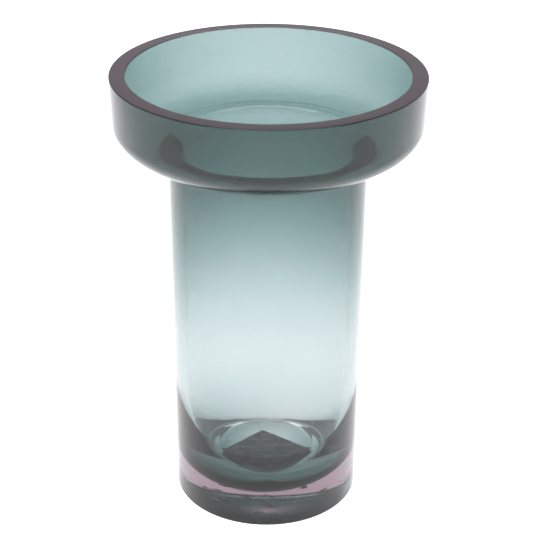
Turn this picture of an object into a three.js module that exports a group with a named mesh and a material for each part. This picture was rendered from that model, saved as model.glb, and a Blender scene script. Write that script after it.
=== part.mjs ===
// Cased-glass cylinder vase with a wide dish mouth.
// Millimetres, +Z up. The origin is on the vase's axis, in the plane that the foot rests on.
import * as THREE from 'three';

// Driving dimensions
const HEIGHT = 200;              // foot to rim
const RIM_RADIUS = 66.5;         // outside of the rim
const RIM_WALL = 6.9;            // width of the flat, polished rim
const RIM_EDGE = 0.5;            // softened edges of the rim
const TUBE_FOOT_RADIUS = 41.6;   // outside of the tube at the foot
const TUBE_NECK_RADIUS = 42.6;   // outside of the tube under the dish
const FOOT_WALL = 5.4;           // tube wall above the bowl
const NECK_WALL = 7.2;           // tube wall under the dish
const FLOOR_HEIGHT = 15.6;       // inside floor of the tube above the table
const LABEL_SIDE = 40;

// Outside of the glass
const FOOT_EDGE = 0.5;           // rounding between the foot and the tube
const FOOT_RING_INNER = 39;      // the vase rests on a narrow ring outside this radius
const PUNT_RADIUS = 34.6;        // shallow hollow under the foot
const PUNT_DEPTH = 0.8;
const UNDERSIDE_HEIGHT = 165.8;  // lowest line of the dish's underside
const DISH_WALL_LOW = 180.4;     // the dish's upright wall starts here
const DISH_WALL_RADIUS = 66;     // outside of the dish where its upright wall starts
const NECK_FILLET = 6.2;         // inside corner between the tube and the dish's underside

// Inside of the glass: a flat floor disc, a groove around it, and a tall bowl up to the tube's wall
const FLOOR_DISC_RADIUS = 20.9;
const DISC_SHOULDER = 2.8;       // rounding of the disc's edge
const GROOVE_RADIUS = 23.8;
const GROOVE_HEIGHT = 14.5;
const BOWL_TOP = 55.2;           // the tube's straight wall starts here
const BOWL_TILT = 12;            // degrees; slope of the bowl where it leaves the groove
const BOWL_FLOOR_PULL = 11.5;    // how far the bowl's curve follows that slope
const BOWL_WALL_PULL = 11;       // and how far it follows the wall
const MOUTH_ROUND = 8.3;         // rounding where the tube opens into the dish
const DISH_FLOOR_HEIGHT = 170.5;
const DISH_CORNER_TOP = 179.2;   // the dish's inside corner ends here

// Tinted lining: thick in the dish, thin down the tube, pooled around the floor
const LINING_DISH = 3.8;
const LINING_THIN = 0.75;
const LINING_FLOOR = 0.4;
const LINING_POOL = 4;
const POOL_TOP = 59;
const POOL_POWER = 2.2;          // how fast the pooled glass thins upward
const DISH_GLASS_FROM = 75;      // the lining thickens from here up to the dish
const DISH_POWER = 1.6;

const LABEL_CENTRE_Y = -5.4;
const LABEL_TURN = 49;           // degrees; the label was stuck on askew
const LABEL_CORNER = 1;
const ADHESIVE_THICKNESS = 0.1;
const PAPER_THICKNESS = 0.2;

const SEGMENTS = 48;
const ARC_STEPS = 5;
const BOWL_STEPS = 9;
const WALL_STEPS = 8;

const TUBE_INNER_FOOT = TUBE_FOOT_RADIUS - FOOT_WALL;
const TUBE_INNER_NECK = TUBE_NECK_RADIUS - NECK_WALL;
const DISH_INNER_RADIUS = RIM_RADIUS - RIM_WALL;
const MOUTH_CENTRE = new THREE.Vector2(TUBE_INNER_NECK + MOUTH_ROUND, DISH_FLOOR_HEIGHT - MOUTH_ROUND);

const point = (radius, height) => new THREE.Vector2(radius, height);

// Points on an elliptical arc about (radius, height); angles in degrees, 0 pointing away from the axis.
function arc(radius, height, across, up, from, to, steps = ARC_STEPS) {
  return Array.from({ length: steps + 1 }, (_, i) => {
    const angle = THREE.MathUtils.degToRad(THREE.MathUtils.lerp(from, to, i / steps));
    return point(radius + across * Math.cos(angle), height + up * Math.sin(angle));
  });
}

// Outside of the glass, from the axis under the foot to the outer edge of the rim.
function outsideOutline() {
  const across = DISH_WALL_RADIUS - TUBE_FOOT_RADIUS;
  const up = DISH_WALL_LOW - UNDERSIDE_HEIGHT;
  const neckHeight = UNDERSIDE_HEIGHT - NECK_FILLET;
  return [
    point(0, PUNT_DEPTH),
    point(PUNT_RADIUS, PUNT_DEPTH),
    point(FOOT_RING_INNER, 0),
    ...arc(TUBE_FOOT_RADIUS - FOOT_EDGE, FOOT_EDGE, FOOT_EDGE, FOOT_EDGE, -90, 0, 3),
    ...arc(TUBE_NECK_RADIUS + NECK_FILLET, neckHeight, NECK_FILLET, NECK_FILLET, 180, 90, 4),
    ...arc(TUBE_FOOT_RADIUS, DISH_WALL_LOW, across, up, -74, 0, 7),
    ...arc(RIM_RADIUS - RIM_EDGE, HEIGHT - RIM_EDGE, RIM_EDGE, RIM_EDGE, 0, 90, 2),
  ];
}

// The inside's tall bowl, from the groove around the floor to the tube's wall.
function bowl() {
  const start = point(GROOVE_RADIUS, GROOVE_HEIGHT);
  const end = point(TUBE_INNER_FOOT, BOWL_TOP);
  const tilt = THREE.MathUtils.degToRad(BOWL_TILT);
  const leave = point(Math.cos(tilt), Math.sin(tilt)).multiplyScalar(BOWL_FLOOR_PULL).add(start);
  const arrive = point(end.x, end.y - BOWL_WALL_PULL);
  return new THREE.CubicBezierCurve(start, leave, arrive, end).getPoints(BOWL_STEPS);
}

// The inside from the bowl's top to the dish's wall.
function dishInside() {
  const across = DISH_INNER_RADIUS - MOUTH_CENTRE.x;
  const up = DISH_CORNER_TOP - DISH_FLOOR_HEIGHT;
  return [
    ...arc(MOUTH_CENTRE.x, MOUTH_CENTRE.y, MOUTH_ROUND, MOUTH_ROUND, 180, 90),
    ...arc(MOUTH_CENTRE.x, DISH_CORNER_TOP, across, up, -80, 0, 6),
  ];
}

// Inside of the glass, from the axis on the tube's floor to the inner edge of the rim.
function insideOutline() {
  return [
    point(0, FLOOR_HEIGHT),
    ...arc(FLOOR_DISC_RADIUS, FLOOR_HEIGHT - DISC_SHOULDER, DISC_SHOULDER, DISC_SHOULDER, 90, 30, 3),
    ...bowl(),
    ...dishInside(),
    ...arc(DISH_INNER_RADIUS + RIM_EDGE, HEIGHT - RIM_EDGE, RIM_EDGE, RIM_EDGE, 180, 90, 2),
  ];
}

// Falls evenly from 1 at height `full` to 0 at height `none`.
function share(height, full, none) {
  return THREE.MathUtils.clamp((height - none) / (full - none), 0, 1);
}

function liningThickness(height) {
  const pool = share(height, GROOVE_HEIGHT, POOL_TOP) ** POOL_POWER;
  const dish = share(height, MOUTH_CENTRE.y, DISH_GLASS_FROM) ** DISH_POWER;
  return LINING_THIN + (LINING_POOL - LINING_THIN) * pool + (LINING_DISH - LINING_THIN) * dish;
}

// Where the casing and the tinted lining are fused, from the axis to the rim: the inside,
// moved outward by the lining's thickness.
function fusedOutline() {
  const wall = Array.from({ length: WALL_STEPS - 1 }, (_, i) => {
    const t = (i + 1) / WALL_STEPS;
    return point(THREE.MathUtils.lerp(TUBE_INNER_FOOT, TUBE_INNER_NECK, t),
      THREE.MathUtils.lerp(BOWL_TOP, MOUTH_CENTRE.y, t));
  });
  const inside = [...bowl(), ...wall, ...dishInside()];
  const moved = inside.map((here, i) => {
    const before = inside[Math.max(i - 1, 0)];
    const after = inside[Math.min(i + 1, inside.length - 1)];
    const along = after.clone().sub(before).normalize();
    return point(along.y, -along.x).multiplyScalar(liningThickness(here.y)).add(here);
  });
  return [
    point(0, FLOOR_HEIGHT - LINING_FLOOR),
    ...moved,
    point(DISH_INNER_RADIUS + LINING_DISH, HEIGHT),
  ];
}

// A closed solid of revolution about Z from the outline of its cross-section.
function turned(outline) {
  return new THREE.LatheGeometry(outline, SEGMENTS).rotateX(Math.PI / 2);
}

// A flat square with rounded corners, its lower face at the given height.
function labelLayer(thickness) {
  const half = LABEL_SIDE / 2;
  const inner = half - LABEL_CORNER;
  const shape = new THREE.Shape();
  [[1, 1, 0], [-1, 1, 90], [-1, -1, 180], [1, -1, 270]].forEach(([x, y, turn]) => {
    const start = THREE.MathUtils.degToRad(turn);
    shape.absarc(x * inner, y * inner, LABEL_CORNER, start, start + Math.PI / 2, false);
  });
  return new THREE.ExtrudeGeometry(shape, { depth: thickness, bevelEnabled: false, curveSegments: 3 });
}

function piece(name, geometry, material) {
  const mesh = new THREE.Mesh(geometry, new THREE.MeshStandardMaterial(material));
  mesh.name = name;
  return mesh;
}

const vase = new THREE.Group();

const fused = fusedOutline();
const clearCasing = [...outsideOutline(), ...fused.toReversed()];
const tintedLining = [...fused, ...insideOutline().toReversed()];
vase.add(
  piece('clear_casing', turned(clearCasing), { color: '#e6e0e4', roughness: 0.03, metalness: 0 }),
  piece('tinted_lining', turned(tintedLining), { color: '#5d8586', roughness: 0.03, metalness: 0 }),
);

const label = new THREE.Group();
label.position.set(0, LABEL_CENTRE_Y, PUNT_DEPTH);
label.rotation.z = THREE.MathUtils.degToRad(LABEL_TURN);
const adhesiveFinish = { color: '#6b6b6e', roughness: 0.4, metalness: 0 };
const adhesive = piece('label_adhesive', labelLayer(ADHESIVE_THICKNESS), adhesiveFinish);
adhesive.position.z = -ADHESIVE_THICKNESS;
const paperFinish = { color: '#4a4a4d', roughness: 0.7, metalness: 0 };
const paper = piece('label_paper', labelLayer(PAPER_THICKNESS), paperFinish);
paper.position.z = -ADHESIVE_THICKNESS - PAPER_THICKNESS;
label.add(adhesive, paper);
vase.add(label);

export default vase;
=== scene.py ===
"""Cased-glass cylinder vase with a wide dish mouth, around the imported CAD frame.

Metres, +Z up, in the CAD's own frame. Outside and inside of the glass are turned from the same
outlines as the CAD solids, far finer and slightly wavy. The lining is uneven around the axis, and
its thicknesses differ from the CAD's. The layers are fused: only faces that meet air bend light.
"""

import math

import bpy
import bmesh
from mathutils import Matrix, Vector, noise


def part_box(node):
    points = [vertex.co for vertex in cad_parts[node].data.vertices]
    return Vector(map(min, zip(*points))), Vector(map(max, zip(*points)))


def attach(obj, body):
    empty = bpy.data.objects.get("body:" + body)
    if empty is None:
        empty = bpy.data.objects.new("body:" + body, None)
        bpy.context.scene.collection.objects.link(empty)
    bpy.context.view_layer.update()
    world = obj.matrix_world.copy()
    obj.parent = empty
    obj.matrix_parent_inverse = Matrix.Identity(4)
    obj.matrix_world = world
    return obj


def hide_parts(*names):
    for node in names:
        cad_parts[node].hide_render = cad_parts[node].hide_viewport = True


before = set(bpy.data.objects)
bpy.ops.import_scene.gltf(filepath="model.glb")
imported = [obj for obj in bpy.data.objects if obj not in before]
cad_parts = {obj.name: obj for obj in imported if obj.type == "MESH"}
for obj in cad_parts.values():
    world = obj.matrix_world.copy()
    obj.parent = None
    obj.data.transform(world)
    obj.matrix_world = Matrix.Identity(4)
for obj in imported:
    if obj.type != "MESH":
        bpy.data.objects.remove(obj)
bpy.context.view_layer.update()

MM = 0.001

# Dimensions of the glass, from the frame where it has them
casing_low, casing_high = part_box("clear_casing")
label_low, label_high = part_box("label_adhesive")
paper_low, paper_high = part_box("label_paper")
HEIGHT = casing_high[2]
RIM_RADIUS = casing_high[0]
PUNT_DEPTH = label_high[2]
RIM_WALL = 6.9 * MM
RIM_EDGE = 0.5 * MM
TUBE_FOOT_RADIUS = 41.6 * MM
TUBE_NECK_RADIUS = 42.6 * MM
FOOT_WALL = 5.4 * MM             # the tube's wall is thicker at the neck than above the bowl
NECK_WALL = 7.2 * MM

FOOT_EDGE = 0.5 * MM
FOOT_RING_INNER = 39 * MM
PUNT_RADIUS = 34.6 * MM
UNDERSIDE_HEIGHT = 165.8 * MM
UNDERSIDE_START = -74            # degrees on the underside's arc, its start beside the neck
DISH_WALL_LOW = 180.4 * MM
DISH_WALL_RADIUS = 66 * MM
NECK_FILLET = 6.2 * MM

# Inside: a flat floor disc, a shallow groove around it, and a tall bowl up to the straight wall
FLOOR_HEIGHT = 15.6 * MM
FLOOR_DISC_RADIUS = 20.9 * MM
DISC_SHOULDER = 2.8 * MM
SHOULDER_END = 30                # degrees on the shoulder's arc, in the groove
GROOVE_RADIUS = 23.8 * MM
GROOVE_HEIGHT = 14.5 * MM
BOWL_HEIGHT = 55.2 * MM
BOWL_TILT = math.radians(12)
BOWL_FLOOR_PULL = 11.5 * MM
BOWL_WALL_PULL = 11 * MM
MOUTH_ROUND = 8.3 * MM
DISH_FLOOR_HEIGHT = 170.5 * MM
DISH_CORNER_TOP = 179.2 * MM
DISH_FLOOR_START = -80           # degrees on the dish's arc, its start beyond the mouth's rounding

# Tinted lining: thick in the dish, thin down the tube, pooled around the floor.
# The pool's thickness is the one in front.
LINING_DISH = 3.6 * MM
LINING_THIN = 0.75 * MM
LINING_FLOOR = 0.4 * MM
LINING_POOL = 3.5 * MM
POOL_TOP = 59 * MM
THIN_TO = 72 * MM
POOL_POWER = 2.2
DISH_POWER = 1.8

WAVE_DEPTH = 0.06 * MM           # hand-blown glass is never quite even
WAVE_LENGTH = 22 * MM
WAVE_STRETCH = 2.2
WAVE_LONG = 0.5                  # shares of the long waves and of the shorter ones on them
WAVE_SHORT = 0.12
WAVE_SHORTER = 4                 # how many times shorter those are
WAVE_CALM = 12 * MM              # the waves fade out towards the rim, the foot and the axis
WAVE_SEED = Vector((3.1, 8.7, 5.2))

SEED_SPACING = 11 * MM           # seed bubbles under the surface
SEED_RADIUS = 0.5 * MM
SEED_DEPTH = 0.08 * MM
SEED_BUMP = 0.5

LABEL_SIDE = 40 * MM
LABEL_CORNER = 1 * MM
LABEL_TURN = math.radians(49)
LABEL_CENTRE_Y = -5.4 * MM
LABEL_GRID = 80
LABEL_BLOCKS = 90.0              # faint woven grid
BLOCK_DARK = 0.2
BLOCK_LIGHT = 0.75
BLOCK_JOINT = 0.1
PATCH_DETAIL = 6.0
DARK_AT = 0.1
LIGHT_AT = 0.5
LABEL_BUMP = 0.2
LABEL_BUMP_HEIGHT = 0.05 * MM
GLUE_DARK = (0.11, 0.105, 0.12)
GLUE_LIGHT = (0.7, 0.68, 0.7)
GLUE_ROUGHNESS = 0.45
GLUE_PATCHES = 300.0
PAPER_DARK = (0.05, 0.05, 0.056)
PAPER_LIGHT = (0.2, 0.2, 0.21)
PAPER_ROUGHNESS = 0.7
PAPER_PATCHES = 150.0

FILM_WETTING = 0.012 * MM        # the glue film's bumps reach into the glass, its hollows hold air
FILM_WAVE_DEPTH = 0.06 * MM
FILM_WAVE_LENGTH = 5 * MM
FILM_WAVE_LONG = 0.9
FILM_WAVE_SHORT = 0.3
FILM_WAVE_SHORTER = 3
FILM_SEED = Vector((7.3, 1.9, 4.1))

FUSED_GAP = 0.01 * MM            # keeps the two layers' shared faces from lying exactly on each other
SEGMENTS = 256
ARC_STEP = math.radians(4)
BOWL_STEPS = 32
WALL_STEP = 2.5 * MM
SHARP_ANGLE = math.radians(25)

TUBE_INNER_FOOT = TUBE_FOOT_RADIUS - FOOT_WALL
TUBE_INNER_NECK = TUBE_NECK_RADIUS - NECK_WALL
DISH_INNER_RADIUS = RIM_RADIUS - RIM_WALL
MOUTH_RADIUS = TUBE_INNER_NECK + MOUTH_ROUND
MOUTH_HEIGHT = DISH_FLOOR_HEIGHT - MOUTH_ROUND

GLASS_IOR = 1.5
FUSED_IOR = 1.0

# Absorption per metre through the glass, red, green, blue
CASING_ABSORPTION = (10.5, 13.0, 11.8)
LINING_ABSORPTION = (450.0, 332.0, 338.0)

POOL_LEAN = 0.2                  # the pooled glass is thicker on the left
POOL_BACK = 0.65                 # and thinner behind
DISH_LEAN = 0.27                 # the dish's wall is thicker in front

ROOM_COLOR = (1.0, 0.87, 0.95)
ROOM_FRONT = 0.62
ROOM_BACK = 0.85
SOFTBOX_WIDTH = 0.5
SOFTBOX_DEPTH = 0.25
SOFTBOX_BACK = 0.35
SOFTBOX_HEIGHT = 0.9
SOFTBOX_POWER = 0.8
TABLE_HALF = 4.0
TABLE_DROP = 0.02 * MM           # keeps the table off the foot's ring
TABLE_GREY = 0.5
TABLE_ROUGHNESS = 0.9
GLOW_FRONT_AT = -0.12
GLOW_BACK_AT = 0.02
GLOW_FRONT = 1.45
GLOW_BACK = 1.35
CONTACT_RADIUS = 40.5 * MM       # the table is in shade where the foot rests on it
CONTACT_WIDTH = 2.5 * MM
CONTACT_SHADE = 0.75

CAMERA_ASIDE = -0.0004
CAMERA_DISTANCE = 0.5947
CAMERA_HEIGHT = 0.4077
CAMERA_PITCH = math.radians(26.63)
CAMERA_ROLL = math.radians(0.37)
CAMERA_LENS = 101.56
CAMERA_SENSOR = 36

LIGHT_BOUNCES = 32
GLOSS_BOUNCES = 16


def lerp(low, high, t):
    return low + (high - low) * t


def clamp(t):
    return min(max(t, 0), 1)


def arc(radius, height, across, up, start, end):
    """Points on an elliptical arc about (radius, height); angles in degrees, 0 away from the axis."""
    steps = max(2, round(abs(math.radians(end - start)) / ARC_STEP))
    angles = [math.radians(lerp(start, end, i / steps)) for i in range(steps + 1)]
    return [(radius + across * math.cos(a), height + up * math.sin(a)) for a in angles]


def bowl():
    """The inside's tall bowl, from the groove around the floor up to the straight wall."""
    start = Vector((GROOVE_RADIUS, GROOVE_HEIGHT))
    end = Vector((TUBE_INNER_FOOT, BOWL_HEIGHT))
    leave = start + BOWL_FLOOR_PULL * Vector((math.cos(BOWL_TILT), math.sin(BOWL_TILT)))
    arrive = end - Vector((0, BOWL_WALL_PULL))
    points = []
    for i in range(BOWL_STEPS + 1):
        t = i / BOWL_STEPS
        points.append(tuple(start * (1 - t) ** 3 + 3 * leave * t * (1 - t) ** 2
                            + 3 * arrive * t ** 2 * (1 - t) + end * t ** 3))
    return points


def straight(start, end, step):
    """Points between two points, leaving out both ends."""
    steps = max(1, round(math.dist(start, end) / step))
    return [(lerp(start[0], end[0], i / steps), lerp(start[1], end[1], i / steps)) for i in range(1, steps)]


def direction(points, i):
    """The way an outline runs at one of its points."""
    before = points[max(i - 1, 0)]
    after = points[min(i + 1, len(points) - 1)]
    return (Vector(after) - Vector(before)).normalized()


def outside_outline():
    """Outside of the glass, from the axis under the foot to the rim's outer edge."""
    across = DISH_WALL_RADIUS - TUBE_FOOT_RADIUS
    up = DISH_WALL_LOW - UNDERSIDE_HEIGHT
    neck = (TUBE_NECK_RADIUS, UNDERSIDE_HEIGHT - NECK_FILLET)
    return [
        (0, PUNT_DEPTH),
        (PUNT_RADIUS, PUNT_DEPTH),
        (FOOT_RING_INNER, 0),
        *arc(TUBE_FOOT_RADIUS - FOOT_EDGE, FOOT_EDGE, FOOT_EDGE, FOOT_EDGE, -90, 0),
        *straight((TUBE_FOOT_RADIUS, FOOT_EDGE), neck, WALL_STEP),
        *arc(TUBE_NECK_RADIUS + NECK_FILLET, neck[1], NECK_FILLET, NECK_FILLET, 180, 90),
        *arc(TUBE_FOOT_RADIUS, DISH_WALL_LOW, across, up, UNDERSIDE_START, 0),
        *arc(RIM_RADIUS - RIM_EDGE, HEIGHT - RIM_EDGE, RIM_EDGE, RIM_EDGE, 0, 90),
    ]


def upper_inside():
    """The inside from the bowl up to the top of the dish's corner."""
    across = DISH_INNER_RADIUS - MOUTH_RADIUS
    up = DISH_CORNER_TOP - DISH_FLOOR_HEIGHT
    return [
        *bowl(),
        *straight((TUBE_INNER_FOOT, BOWL_HEIGHT), (TUBE_INNER_NECK, MOUTH_HEIGHT), WALL_STEP),
        *arc(MOUTH_RADIUS, MOUTH_HEIGHT, MOUTH_ROUND, MOUTH_ROUND, 180, 90),
        *arc(MOUTH_RADIUS, DISH_CORNER_TOP, across, up, DISH_FLOOR_START, 0),
    ]


def inside_outline():
    """Inside of the glass, from the axis on the floor to the rim's inner edge."""
    shoulder = FLOOR_HEIGHT - DISC_SHOULDER
    return [
        (0, FLOOR_HEIGHT),
        *arc(FLOOR_DISC_RADIUS, shoulder, DISC_SHOULDER, DISC_SHOULDER, 90, SHOULDER_END),
        *upper_inside(),
        *arc(DISH_INNER_RADIUS + RIM_EDGE, HEIGHT - RIM_EDGE, RIM_EDGE, RIM_EDGE, 180, 90),
    ]


def lining_thickness(height):
    """The lining's thickness before it is made uneven around the axis."""
    pool = clamp((POOL_TOP - height) / (POOL_TOP - GROOVE_HEIGHT)) ** POOL_POWER
    dish = clamp((height - THIN_TO) / (MOUTH_HEIGHT - THIN_TO)) ** DISH_POWER
    return LINING_THIN + (LINING_POOL - LINING_THIN) * pool + (LINING_DISH - LINING_THIN) * dish


def fused_outline():
    """Where casing and lining are fused: points inside, each with the way and distance out to it."""
    inside = upper_inside()
    fused = [((0, FLOOR_HEIGHT), (0, -1), LINING_FLOOR)]
    for i, here in enumerate(inside):
        along = direction(inside, i)
        fused.append((here, (along.y, -along.x), lining_thickness(here[1])))
    fused.append(((DISH_INNER_RADIUS, HEIGHT), (1, 0), LINING_DISH))
    return fused


def pooling(angle, height):
    """What the lining's thickness is multiplied by around the axis.

    The pool is thickest in front and thinnest behind, and leans to the left. Above the dish's floor
    the lining is thicker in front and thinner behind, fully so from the top of the corner up.
    """
    pool = clamp((POOL_TOP - height) / (POOL_TOP - GROOVE_HEIGHT))
    dish = clamp((height - DISH_FLOOR_HEIGHT) / (DISH_CORNER_TOP - DISH_FLOOR_HEIGHT))
    back = (1 + math.sin(angle)) / 2
    thinned = 1 - POOL_LEAN * pool * math.cos(angle) - POOL_BACK * pool * back
    return thinned - DISH_LEAN * dish * math.sin(angle)


def uneven(spot, seed, long_share, short_share, shorter):
    """A smooth random value from 0 to 1: long waves with shorter ones on them."""
    long_wave = long_share * noise.noise(spot + seed)
    return clamp(0.5 + long_wave + short_share * noise.noise(shorter * spot + seed))


def waviness(x, y, z):
    """How far the hand-blown surface lies inside its true shape: waves drawn out upward."""
    spot = Vector((x, y, z / WAVE_STRETCH)) / WAVE_LENGTH
    return WAVE_DEPTH * uneven(spot, WAVE_SEED, WAVE_LONG, WAVE_SHORT, WAVE_SHORTER)


def calmness(radius, height):
    """1 on the walls, falling to 0 at the rim, in the foot and at the axis."""
    below_rim = clamp((HEIGHT - height) / WAVE_CALM)
    above_foot = clamp((height - FLOOR_HEIGHT / 2) / WAVE_CALM)
    return below_rim * above_foot * clamp(radius / WAVE_CALM)


def wavy_place(outline, k, inward):
    """A function that gives radius and height of an outline's point at an angle, made wavy."""
    radius, height = outline[k]
    along = direction(outline, k)
    into = (-along.y * inward, along.x * inward)
    calm = calmness(radius, height)

    def place(angle):
        deep = calm * waviness(radius * math.cos(angle), radius * math.sin(angle), height)
        return radius + into[0] * deep, height + into[1] * deep
    return place


def fused_place(point, gap):
    """A function that gives radius and height of the fused face's point at an angle."""
    (radius, height), (out_across, out_up), thickness = point

    def place(angle):
        deep = thickness * pooling(angle, height) + gap
        return radius + out_across * deep, height + out_up * deep
    return place


def add_ring(bm, place):
    """One ring of points, or a single point on the axis."""
    first_radius, first_height = place(0)
    if first_radius == 0:
        return [bm.verts.new((0, 0, first_height))] * SEGMENTS
    ring = []
    for i in range(SEGMENTS):
        angle = 2 * math.pi * i / SEGMENTS
        radius, height = place(angle)
        ring.append(bm.verts.new((radius * math.cos(angle), radius * math.sin(angle), height)))
    return ring


def join_rings(bm, rings, air_count):
    """Faces between neighbouring rings; those up to and across the rim meet the air."""
    air = bm.faces.layers.float.new("air_side")
    for k, (lower, upper) in enumerate(zip(rings, rings[1:])):
        meets_air = 1.0 if k < air_count else 0.0
        for i in range(SEGMENTS):
            j = (i + 1) % SEGMENTS
            corners = []
            for vert in (lower[i], lower[j], upper[j], upper[i]):
                if vert not in corners:
                    corners.append(vert)
            face = bm.faces.new(corners)
            face[air] = meets_air
            face.smooth = True


def new_piece(name, bm):
    """The built mesh as an object, its faces pointing out."""
    bmesh.ops.recalc_face_normals(bm, faces=bm.faces)
    mesh = bpy.data.meshes.new(name)
    bm.to_mesh(mesh)
    bm.free()
    piece = bpy.data.objects.new(name, mesh)
    bpy.context.scene.collection.objects.link(piece)
    return piece


def turned(name, air_side, fused_side, gap, inward):
    """A closed solid of revolution between an outline that meets the air and the fused one.

    inward is 1 where the glass lies to the left of the air side's outline, else -1.
    """
    bm = bmesh.new()
    rings = [add_ring(bm, wavy_place(air_side, k, inward)) for k in range(len(air_side))]
    rings += [add_ring(bm, fused_place(point, gap)) for point in reversed(fused_side)]
    join_rings(bm, rings, len(air_side))
    piece = new_piece(name, bm)
    piece.data.set_sharp_from_angle(angle=SHARP_ANGLE)
    return piece


def new_material(name):
    material = bpy.data.materials.new(name)
    material.use_nodes = True
    nodes = material.node_tree.nodes
    nodes.clear()
    output = nodes.new("ShaderNodeOutputMaterial")
    return material, nodes, material.node_tree.links, output


def new_range(nodes, from_low, from_high, to_low, to_high):
    """A node that maps one range of values to another and stops at its ends."""
    node = nodes.new("ShaderNodeMapRange")
    node.inputs["From Min"].default_value = from_low
    node.inputs["From Max"].default_value = from_high
    node.inputs["To Min"].default_value = to_low
    node.inputs["To Max"].default_value = to_high
    return node


def add_seeds(nodes, links, glass):
    """A few tiny bubbles just under the surface, as a bump."""
    place = nodes.new("ShaderNodeTexCoord")
    seeds = nodes.new("ShaderNodeTexVoronoi")
    seeds.inputs["Scale"].default_value = 1 / SEED_SPACING
    mark = new_range(nodes, 0.0, SEED_RADIUS / SEED_SPACING, 1.0, 0.0)
    bump = nodes.new("ShaderNodeBump")
    bump.inputs["Strength"].default_value = SEED_BUMP
    bump.inputs["Distance"].default_value = SEED_DEPTH
    links.new(place.outputs["Object"], seeds.inputs["Vector"])
    links.new(seeds.outputs["Distance"], mark.inputs["Value"])
    links.new(mark.outputs["Result"], bump.inputs["Height"])
    links.new(bump.outputs["Normal"], glass.inputs["Normal"])


def glass_material(name, absorption):
    """Polished glass: only its air faces bend light, and it absorbs some on the way."""
    material, nodes, links, output = new_material(name)
    glass = nodes.new("ShaderNodeBsdfPrincipled")
    glass.inputs["Base Color"].default_value = (1, 1, 1, 1)
    glass.inputs["Roughness"].default_value = 0.0
    glass.inputs["IOR"].default_value = GLASS_IOR
    glass.inputs["Transmission Weight"].default_value = 1.0
    side = nodes.new("ShaderNodeAttribute")
    side.attribute_name = "air_side"
    index = new_range(nodes, 0.0, 1.0, FUSED_IOR, GLASS_IOR)
    links.new(side.outputs["Fac"], index.inputs["Value"])
    links.new(index.outputs["Result"], glass.inputs["IOR"])
    add_seeds(nodes, links, glass)
    absorb = nodes.new("ShaderNodeVolumeAbsorption")
    density = max(absorption)
    absorb.inputs["Color"].default_value = (*[1 - a / density for a in absorption], 1)
    absorb.inputs["Density"].default_value = density
    links.new(glass.outputs["BSDF"], output.inputs["Surface"])
    links.new(absorb.outputs["Volume"], output.inputs["Volume"])
    return material


def build_glass():
    casing = turned("casing", outside_outline(), fused_outline(), FUSED_GAP, 1)
    casing.data.materials.append(glass_material("clear_glass", CASING_ABSORPTION))
    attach(casing, "root")
    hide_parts("clear_casing")
    lining = turned("lining", inside_outline(), fused_outline(), 0, -1)
    lining.data.materials.append(glass_material("teal_glass", LINING_ABSORPTION))
    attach(lining, "root")
    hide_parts("tinted_lining")


def label_material(name, dark, light, roughness, scale):
    """Matt, darkly printed paper or smeared glue: a faint woven grid and soft patches."""
    material, nodes, links, output = new_material(name)
    surface = nodes.new("ShaderNodeBsdfPrincipled")
    surface.inputs["Roughness"].default_value = roughness
    place = nodes.new("ShaderNodeTexCoord")
    patches = nodes.new("ShaderNodeTexNoise")
    patches.inputs["Scale"].default_value = scale
    patches.inputs["Detail"].default_value = PATCH_DETAIL
    blocks = nodes.new("ShaderNodeTexBrick")
    blocks.inputs["Scale"].default_value = LABEL_BLOCKS
    for socket, grey in (("Color1", BLOCK_DARK), ("Color2", BLOCK_LIGHT), ("Mortar", BLOCK_JOINT)):
        blocks.inputs[socket].default_value = (grey, grey, grey, 1)
    both = nodes.new("ShaderNodeMath")
    both.operation = "MULTIPLY"
    ramp = nodes.new("ShaderNodeValToRGB")
    ramp.color_ramp.elements[0].color = (*dark, 1)
    ramp.color_ramp.elements[0].position = DARK_AT
    ramp.color_ramp.elements[1].color = (*light, 1)
    ramp.color_ramp.elements[1].position = LIGHT_AT
    bump = nodes.new("ShaderNodeBump")
    bump.inputs["Strength"].default_value = LABEL_BUMP
    bump.inputs["Distance"].default_value = LABEL_BUMP_HEIGHT
    links.new(place.outputs["Object"], patches.inputs["Vector"])
    links.new(place.outputs["Object"], blocks.inputs["Vector"])
    links.new(patches.outputs["Fac"], both.inputs[0])
    links.new(blocks.outputs["Color"], both.inputs[1])
    links.new(both.outputs["Value"], ramp.inputs["Fac"])
    links.new(ramp.outputs["Color"], surface.inputs["Base Color"])
    links.new(patches.outputs["Fac"], bump.inputs["Height"])
    links.new(bump.outputs["Normal"], surface.inputs["Normal"])
    links.new(surface.outputs["BSDF"], output.inputs["Surface"])
    return material


def askew_place(half, x, y, z):
    """A point of the label's square, its corners drawn in to a small radius, turned into place."""
    inner = half - LABEL_CORNER
    over = Vector((max(abs(x) - inner, 0), max(abs(y) - inner, 0)))
    if over.x and over.y and over.length > LABEL_CORNER:
        over *= LABEL_CORNER / over.length
        x = math.copysign(inner + over.x, x)
        y = math.copysign(inner + over.y, y)
    askew = Matrix.Translation((0, LABEL_CENTRE_Y, 0)) @ Matrix.Rotation(LABEL_TURN, 4, "Z")
    return askew @ Vector((x, y, z))


def ripple(x, y):
    """How deep the glue film's top lies below its bumps, from 0 to 1."""
    spot = Vector((x, y, 0)) / FILM_WAVE_LENGTH
    return uneven(spot, FILM_SEED, FILM_WAVE_LONG, FILM_WAVE_SHORT, FILM_WAVE_SHORTER)


def square_border(count):
    """Row and column of the points around a square grid, one after the other."""
    steps = range(count)
    back_steps = range(count, 0, -1)
    there = [(0, i) for i in steps] + [(i, count) for i in steps]
    return there + [(count, i) for i in back_steps] + [(i, 0) for i in back_steps]


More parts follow.
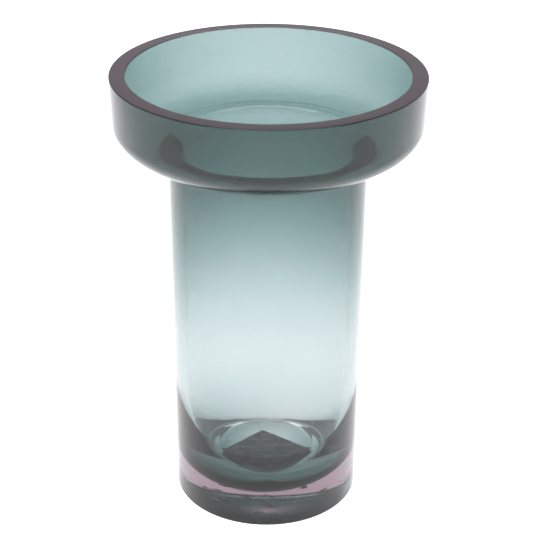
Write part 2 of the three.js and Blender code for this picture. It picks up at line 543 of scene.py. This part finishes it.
def sheet(name, size, low, high, wave):
    """A thin square layer with rounded corners and a finely wavy top, stuck on askew under the foot."""
    bm = bmesh.new()
    count = LABEL_GRID
    half = size / 2
    across = [lerp(-half, half, i / count) for i in range(count + 1)]

    def layer(height_at):
        return [[bm.verts.new(askew_place(half, x, y, height_at(x, y))) for x in across] for y in across]

    top = layer(lambda x, y: high - wave * ripple(x, y))
    bottom = layer(lambda x, y: low)
    for j in range(count):
        for i in range(count):
            bm.faces.new((top[j][i], top[j][i + 1], top[j + 1][i + 1], top[j + 1][i]))
            bm.faces.new((bottom[j][i], bottom[j + 1][i], bottom[j + 1][i + 1], bottom[j][i + 1]))
    border = square_border(count)
    for (j, i), (next_j, next_i) in zip(border, border[1:] + border[:1]):
        bm.faces.new((bottom[j][i], bottom[next_j][next_i], top[next_j][next_i], top[j][i]))
    return new_piece(name, bm)


def build_label():
    film_top = PUNT_DEPTH + FILM_WETTING
    film = sheet("label_film", LABEL_SIDE, label_low[2] + FUSED_GAP, film_top, FILM_WAVE_DEPTH)
    glue = label_material("label_glue", GLUE_DARK, GLUE_LIGHT, GLUE_ROUGHNESS, GLUE_PATCHES)
    film.data.materials.append(glue)
    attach(film, "root")
    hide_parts("label_adhesive")
    paper = sheet("label_print", LABEL_SIDE, paper_low[2], label_low[2], 0)
    printed = label_material("label_paper", PAPER_DARK, PAPER_LIGHT, PAPER_ROUGHNESS, PAPER_PATCHES)
    paper.data.materials.append(printed)
    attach(paper, "root")
    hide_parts("label_paper")


def add_contact_shade(nodes, links, place):
    """A factor of 1, less in a narrow band where the foot's ring rests on the table."""
    reach = nodes.new("ShaderNodeVectorMath")
    reach.operation = "LENGTH"
    off = nodes.new("ShaderNodeMath")
    off.operation = "SUBTRACT"
    off.inputs[1].default_value = CONTACT_RADIUS
    gap = nodes.new("ShaderNodeMath")
    gap.operation = "ABSOLUTE"
    contact = new_range(nodes, 0.0, CONTACT_WIDTH, CONTACT_SHADE, 1.0)
    links.new(place.outputs["Object"], reach.inputs[0])
    links.new(reach.outputs["Value"], off.inputs[0])
    links.new(off.outputs["Value"], gap.inputs[0])
    links.new(gap.outputs["Value"], contact.inputs["Value"])
    return contact


def table_material():
    """A table that glows until it looks white, a little more in front of the vase than behind it."""
    material, nodes, links, output = new_material("floor_white")
    surface = nodes.new("ShaderNodeBsdfPrincipled")
    surface.inputs["Base Color"].default_value = (TABLE_GREY, TABLE_GREY, TABLE_GREY, 1)
    surface.inputs["Roughness"].default_value = TABLE_ROUGHNESS
    surface.inputs["Specular IOR Level"].default_value = 0.0
    surface.inputs["Emission Color"].default_value = (1, 1, 1, 1)
    place = nodes.new("ShaderNodeTexCoord")
    split = nodes.new("ShaderNodeSeparateXYZ")
    glow = new_range(nodes, GLOW_FRONT_AT, GLOW_BACK_AT, GLOW_FRONT, GLOW_BACK)
    links.new(place.outputs["Object"], split.inputs["Vector"])
    links.new(split.outputs["Y"], glow.inputs["Value"])
    contact = add_contact_shade(nodes, links, place)
    both = nodes.new("ShaderNodeMath")
    both.operation = "MULTIPLY"
    links.new(glow.outputs["Result"], both.inputs[0])
    links.new(contact.outputs["Result"], both.inputs[1])
    links.new(both.outputs["Value"], surface.inputs["Emission Strength"])
    links.new(surface.outputs["BSDF"], output.inputs["Surface"])
    return material


def build_stage():
    mesh = bpy.data.meshes.new("floor")
    half = TABLE_HALF
    corners = [(-half, -half, 0), (half, -half, 0), (half, half, 0), (-half, half, 0)]
    mesh.from_pydata(corners, [], [(0, 1, 2, 3)])
    floor = bpy.data.objects.new("floor", mesh)
    bpy.context.scene.collection.objects.link(floor)
    mesh.materials.append(table_material())
    floor.location.z = -TABLE_DROP


def build_light():
    """A lilac-white room that is dimmer towards the camera, and a softbox above and behind the vase."""
    world = bpy.data.worlds.new("studio")
    bpy.context.scene.world = world
    world.use_nodes = True
    nodes = world.node_tree.nodes
    links = world.node_tree.links
    background = nodes["Background"]
    way = nodes.new("ShaderNodeTexCoord")
    split = nodes.new("ShaderNodeSeparateXYZ")
    strength = new_range(nodes, -1.0, 1.0, ROOM_FRONT, ROOM_BACK)
    links.new(way.outputs["Generated"], split.inputs["Vector"])
    links.new(split.outputs["Y"], strength.inputs["Value"])
    links.new(strength.outputs["Result"], background.inputs["Strength"])
    background.inputs["Color"].default_value = (*ROOM_COLOR, 1)
    data = bpy.data.lights.new("softbox", "AREA")
    data.shape = "RECTANGLE"
    data.size = SOFTBOX_WIDTH
    data.size_y = SOFTBOX_DEPTH
    data.energy = SOFTBOX_POWER
    softbox = bpy.data.objects.new("softbox", data)
    softbox.location = (0, SOFTBOX_BACK, SOFTBOX_HEIGHT)
    bpy.context.scene.collection.objects.link(softbox)


def build_camera():
    data = bpy.data.cameras.new("camera")
    data.lens = CAMERA_LENS
    data.sensor_width = CAMERA_SENSOR
    camera = bpy.data.objects.new("camera", data)
    bpy.context.scene.collection.objects.link(camera)
    turn = Matrix.Rotation(math.pi / 2 - CAMERA_PITCH, 4, "X") @ Matrix.Rotation(CAMERA_ROLL, 4, "Z")
    camera.matrix_world = Matrix.Translation((CAMERA_ASIDE, -CAMERA_DISTANCE, CAMERA_HEIGHT)) @ turn
    bpy.context.scene.camera = camera


def set_light_paths():
    scene = bpy.context.scene
    scene.view_settings.view_transform = "Standard"
    scene.cycles.max_bounces = LIGHT_BOUNCES
    scene.cycles.transmission_bounces = LIGHT_BOUNCES
    scene.cycles.glossy_bounces = GLOSS_BOUNCES
    scene.cycles.transparent_max_bounces = LIGHT_BOUNCES


build_camera()
build_glass()
build_label()
build_stage()
build_light()
set_light_paths()
